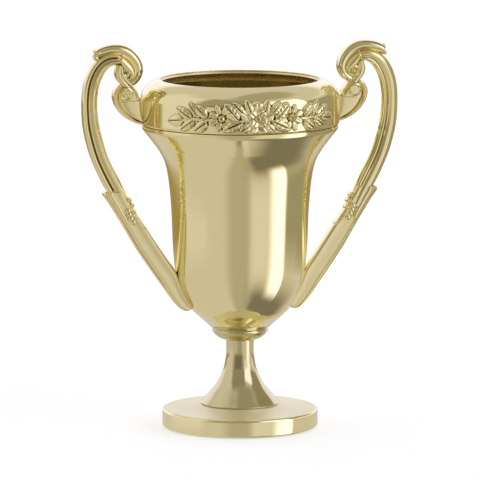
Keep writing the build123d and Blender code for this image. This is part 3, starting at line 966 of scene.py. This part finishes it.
def handle_bulb(shell):
    """The bulb that meets the collar: a rounded rim round a plate and a thicker apron."""
    rim = [
        ((41.2, 120.0), (40.8, 118.6)), ((42.6, 119.5), (41.5, 118.3)),
        ((43.8, 118.2), (42.1, 117.4)), ((44.4, 116.7), (42.5, 116.3)),
        ((44.5, 115.2), (42.5, 115.1)), ((44.1, 113.4), (42.2, 113.8)),
        ((43.3, 111.7), (41.6, 112.4)), ((42.0, 109.9), (40.5, 110.8)),
        ((40.2, 108.2), (39.0, 109.3)), ((37.9, 106.8), (37.2, 107.9)),
        ((36.0, 106.0), (35.7, 107.1)), ((34.0, 105.5), (33.9, 106.7)),
    ]
    ribbon(shell, rim, 2.75, squared(2.3), stations=110, around=44, ends=(0.5, 0.1))
    plate = [
        ((41.6, 119.0), (38.4, 119.0)), ((42.5, 117.2), (36.6, 117.2)),
        ((42.6, 115.2), (35.4, 115.4)), ((42.3, 113.2), (33.8, 113.4)),
        ((41.0, 111.0), (33.8, 111.2)), ((39.0, 109.0), (33.8, 109.2)),
        ((36.4, 107.4), (33.8, 107.6)), ((34.4, 106.6), (33.8, 106.6)),
    ]
    ribbon(shell, plate, 2.05, squared(6), stations=50, around=40, ends=(0.3, 0.1))
    apron = [
        ((42.3, 114.0), (33.8, 114.5)), ((41.9, 112.8), (33.8, 113.2)),
        ((40.8, 111.0), (33.8, 111.3)), ((39.0, 109.2), (33.8, 109.5)),
        ((36.6, 107.6), (33.8, 107.9)), ((34.4, 106.8), (33.8, 106.8)),
    ]
    ribbon(shell, apron, 2.4, squared(5), stations=40, around=40, ends=(0.5, 0.1))


def handle_rosette(shell):
    """The round dish in the bulb, with a small rosette in one face."""
    centre, petals, petal_circle = (39.7, 116.4), 6, 1.15
    face = [
        (0.02, 1.35), (0.7, 1.4), (1.25, 1.75), (1.65, 2.3), (1.95, 2.5), (2.25, 2.35),
        (2.4, 1.9),
    ]
    boss(shell, centre, face)
    for place in arc(centre, petal_circle, 0, 360, petals + 1)[:-1]:
        bead(shell, place, (0.48, 0.55), y=1.85)
    bead(shell, centre, (0.55, 0.6), y=1.8)


def handle_wedge(shell):
    """The flat wedge that runs down to the bowl, with a bar along its top."""
    wedge = [
        ((46.9, 83.3), (41.2, 83.6)), ((47.9, 82.0), (40.2, 81.8)),
        ((46.5, 79.6), (39.0, 79.6)), ((43.2, 74.4), (36.3, 75.2)),
        ((40.1, 69.2), (33.4, 70.9)), ((36.6, 63.1), (30.4, 66.4)),
        ((33.3, 58.0), (27.6, 62.1)), ((30.0, 53.2), (24.9, 58.1)),
        ((27.0, 48.9), (22.5, 54.4)), ((24.4, 45.2), (21.0, 50.0)),
        ((22.3, 42.6), (19.4, 46.2)), ((20.5, 41.2), (18.0, 43.5)),
        ((18.9, 40.8), (17.0, 42.0)), ((17.5, 41.1), (16.6, 41.3)),
    ]
    ribbon(shell, wedge, 2.6, WEDGE_SECTION, stations=150, around=72, ends=(0.9, 1.0))
    bar = [
        ((46.0, 83.2), (44.4, 83.5)), ((46.5, 81.8), (44.0, 82.4)),
        ((44.7, 78.5), (42.3, 79.3)), ((42.7, 75.2), (40.6, 76.2)),
        ((40.9, 72.3), (39.3, 73.4)), ((39.9, 70.7), (39.0, 71.5)),
    ]
    ribbon(shell, bar, 3.0, squared(2.8), stations=60, around=36, ends=(1.0, 0.9))


def handle_beading(shell):
    """The knobbly inner corner between the arm and the wedge, and its trailing curl."""
    through, surface_y = 2.8, 2.3
    for place, radius in (
        ((38.9, 79.7), 1.10), ((38.0, 77.8), 1.20), ((37.5, 75.5), 1.30),
        ((37.0, 73.4), 1.25), ((35.5, 71.6), 1.00), ((33.5, 70.0), 0.80),
    ):
        bead(shell, place, (radius, through))
    tail = [
        ((37.2, 73.6), (35.9, 73.9)), ((36.6, 72.0), (35.4, 72.6)),
        ((35.4, 70.6), (34.6, 71.5)), ((34.0, 69.6), (33.2, 70.6)),
    ]
    ribbon(shell, tail, 2.7, squared(2.4), stations=30, around=28, ends=(0.4, 0.4))
    for y in (-surface_y, surface_y):
        for place in ((39.3, 76.2), (38.9, 74.8), (38.3, 73.4), (37.5, 72.2)):
            bead(shell, place, (1.1, 0.8), y=y)


def handle_crest_leaves(shell):
    """Small leaf tips tucked against the back end of the crest."""
    for place, size, y in (
        ((50.3, 128.9), (0.95, 0.8), 1.9),
        ((50.6, 131.1), (0.65, 0.8), 1.9),
        ((49.2, 130.6), (0.7, 0.7), 2.4),
        ((50.2, 129.1), (0.8, 0.7), -1.9),
    ):
        bead(shell, place, size, y=y)


def make_handles():
    shell = Shell()
    for part in (
        handle_arm, handle_lobe, handle_crest, handle_scroll_eye, handle_neck, handle_bulb,
        handle_rosette, handle_wedge, handle_beading, handle_crest_leaves,
    ):
        part(shell)
    for node, sign in (("handle_right", 1), ("handle_left", -1)):
        vertices = [(sign * x, sign * y, z) for x, y, z in shell.vertices]
        make_piece(node + "_moulding", vertices, shell.faces, GOLD, [node], shell.recess)


# ------------------------------
# CAD nodes that keep their own shape
# ------------------------------
def dress(material, slot_name, *nodes):
    """Gives CAD nodes a material in place of their plain one."""
    for node in nodes:
        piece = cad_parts[node]
        piece.data.materials.clear()
        piece.data.materials.append(material)


# ------------------------------
# Studio
# ------------------------------
CAMERA_AZIMUTH = -10.0    # degrees from straight in front, to the cup's left
CAMERA_ELEVATION = 8.2    # degrees
CAMERA_DISTANCE = 1.83    # metres
TARGET_HEIGHT = 0.06475   # metres
LENS = 398.0              # millimetres
SURROUND = 0.62           # brightness all round, before the panels below
DARK_TINT = (1.12, 1.0, 0.86, 1)    # dim light is warm
BRIGHT_TINT = (1.02, 1.0, 1.26, 1)  # and bright light cool

# Panels of light at the edge of the world.  Each has the azimuths (0 towards
# the camera, positive to its right) where it starts, is full, begins to end and
# has ended; the same for elevation; and its brightness.  Later panels cover
# earlier ones.
NADIR, ZENITH = (-95, -91), (91, 95)
ALL_ROUND = (-200, -199, 199, 200)
PANELS = {
    "front_low": ((-32, -10, 8, 24), (*NADIR, -4, 2), 0.45),
    "right_glow": ((14, 26, 42, 52), (*NADIR, -4, 10), 0.72),
    "back_wall": (ALL_ROUND, (-2, 3, 24, 36), 1.05),
    "back_wall_gap": ((-100, -84, 84, 100), (-2, 3, 24, 36), SURROUND),
    "front_shade": ((-66, -30, 8, 34), (-7, 3, 12, 26), 0.22),
    "front_high": ((-62, -44, 30, 44), (10, 22, 60, 76), 0.33),
    "ceiling": (ALL_ROUND, (58, 72, *ZENITH), 0.60),
    "ceiling_right": ((-40, 0, 150, 170), (50, 62, *ZENITH), 0.38),
    "left_wall": ((-135, -112, -66, -50), (-20, -4, 50, 66), 0.76),
    "nadir_front": ((-44, -18, 4, 16), (*NADIR, -88, -82), 0.12),
    "floor_right": ((0, 36, 120, 160), (-86, -68, -50, -16), 0.20),
    "softbox": ((44, 66, 84, 86), (-52, -30, 36, 48), 1.45),
    "softbox_top": ((26, 40, 84, 86), (4, 16, 36, 48), 1.45),
}


def view_direction(nodes):
    """Azimuth and elevation of the direction looked in, both in degrees."""
    turn = radians(CAMERA_AZIMUTH)
    front = (sin(turn), -cos(turn), 0.0)
    right = (cos(turn), sin(turn), 0.0)
    place = nodes.add("ShaderNodeTexCoord", output="Generated")
    dot = {"output": "Value", "operation": "DOT_PRODUCT"}
    ahead = nodes.add("ShaderNodeVectorMath", {0: place, 1: front}, **dot)
    across = nodes.add("ShaderNodeVectorMath", {0: place, 1: right}, **dot)
    height = nodes.add("ShaderNodeSeparateXYZ", {"Vector": place}, "Z")
    azimuth = nodes.math("DEGREES", nodes.math("ARCTAN2", across, ahead))
    return azimuth, nodes.math("DEGREES", nodes.math("ARCSINE", height))


def make_world():
    world = bpy.data.worlds.new("studio")
    world.use_nodes = True
    world.node_tree.nodes.clear()
    nodes = Nodes(world.node_tree)
    azimuth, elevation = view_direction(nodes)
    light = SURROUND
    for azimuths, elevations, brightness in PANELS.values():
        within = nodes.band(azimuth, *azimuths), nodes.band(elevation, *elevations)
        light = nodes.blend(light, brightness, nodes.math("MULTIPLY", *within))
    colour = nodes.mix_colour(nodes.step(light, start=0.2, end=1.3), DARK_TINT, BRIGHT_TINT)
    glow = nodes.add("ShaderNodeBackground", {"Color": colour, "Strength": light})
    out = world.node_tree.nodes.new("ShaderNodeOutputWorld")
    nodes.feed(out.inputs["Surface"], glow)
    bpy.context.scene.world = world


def glowing_matt(name, base, glow, strength):
    """A matt material that also shines by itself."""
    material, nodes, shader = new_material(name)
    shader.inputs["Base Color"].default_value = (*base, 1)
    shader.inputs["Roughness"].default_value = 1.0
    shader.inputs["Specular IOR Level"].default_value = 0.0
    shader.inputs["Emission Color"].default_value = (*glow, 1)
    shader.inputs["Emission Strength"].default_value = strength
    return material, nodes, shader


def make_floor():
    """Pale paper sweep; the polished cup mirrors the studio rather than the paper."""
    half, top = 3.0, -0.0002
    paper = glowing_matt("studio_paper", (0.83, 0.89, 0.88), (1, 1, 1), 0.45)[0]
    corners = [(-half, -half, top), (half, -half, top), (half, half, top), (-half, half, top)]
    floor = mesh_object("floor", corners, [(0, 1, 2, 3)], paper)
    floor.visible_glossy = False
    floor.visible_shadow = False


def round_the_cup(azimuth, distance, height):
    """A studio point: azimuth is 0 towards the camera and positive to its right."""
    turn = radians(CAMERA_AZIMUTH + azimuth)
    return (distance * sin(turn), -distance * cos(turn), height)


def make_card(name, azimuths, near, far, colour):
    """
    A soft-edged studio card that only the cup's polish sees.

    It bends round the cup between two edges, each a (distance, height).
    """
    material, nodes, shader = glowing_matt(name, (0, 0, 0), colour, 1.0)
    nodes.feed(shader.inputs["Alpha"], nodes.attribute("fade"))
    columns, rows = len(azimuths), 6
    points, opacity = [], []
    for j, (distance, height) in enumerate(np.linspace(near, far, rows)):
        for i, azimuth in enumerate(azimuths):
            points.append(round_the_cup(azimuth, distance, height))
            opacity.append(0.0 if i in (0, columns - 1) or j in (0, rows - 1) else 1.0)
    corners = [j * columns + i for j in range(rows - 1) for i in range(columns - 1)]
    faces = [(k, k + 1, k + 1 + columns, k + columns) for k in corners]
    piece = mesh_object(name, points, faces, material)
    mark_points(piece, "fade", opacity)
    piece.visible_camera = False
    piece.visible_diffuse = False
    piece.visible_shadow = False


def make_cards():
    """A tan cloth on the table behind the cup and a grey flag at its right."""
    make_card("cloth_card", range(108, 264, 7), (0.20, 0.0), (1.25, 0.0), (0.38, 0.28, 0.11))
    make_card("flag_card", range(72, 138, 6), (0.115, 0.02), (0.115, 0.18), (0.36, 0.33, 0.25))


def make_camera():
    """A long lens that looks at the middle of the cup from the photo's angle."""
    data = bpy.data.cameras.new("camera")
    data.lens = LENS
    data.sensor_width = 36.0
    camera = bpy.data.objects.new("camera", data)
    bpy.context.collection.objects.link(camera)
    turn, tilt = radians(CAMERA_AZIMUTH), radians(CAMERA_ELEVATION)
    back = Vector((sin(turn) * cos(tilt), -cos(turn) * cos(tilt), sin(tilt)))
    camera.location = Vector((0, 0, TARGET_HEIGHT)) + back * CAMERA_DISTANCE
    camera.rotation_mode = "QUATERNION"
    camera.rotation_quaternion = (-back).to_track_quat("-Z", "Y")
    data.clip_start, data.clip_end = 0.05, 20.0
    bpy.context.scene.camera = camera


# ------------------------------
# The cup and its studio
# ------------------------------
make_turned_pieces()
make_wreath()
make_handles()
dress(ZINC, "zinc_steel", "handle_screws", "handle_washers", "tie_rod", "foot_weight")
dress(ZINC, "zinc_steel", "top_nut", "top_washer", "bottom_nut", "bottom_washer", "spring_washer")
dress(RUBBER, "rubber", "seal_washer")
dress(FELT, "felt", "base_pad")
make_world()
make_floor()
make_cards()
make_camera()
bpy.context.scene.view_settings.view_transform = "Standard"
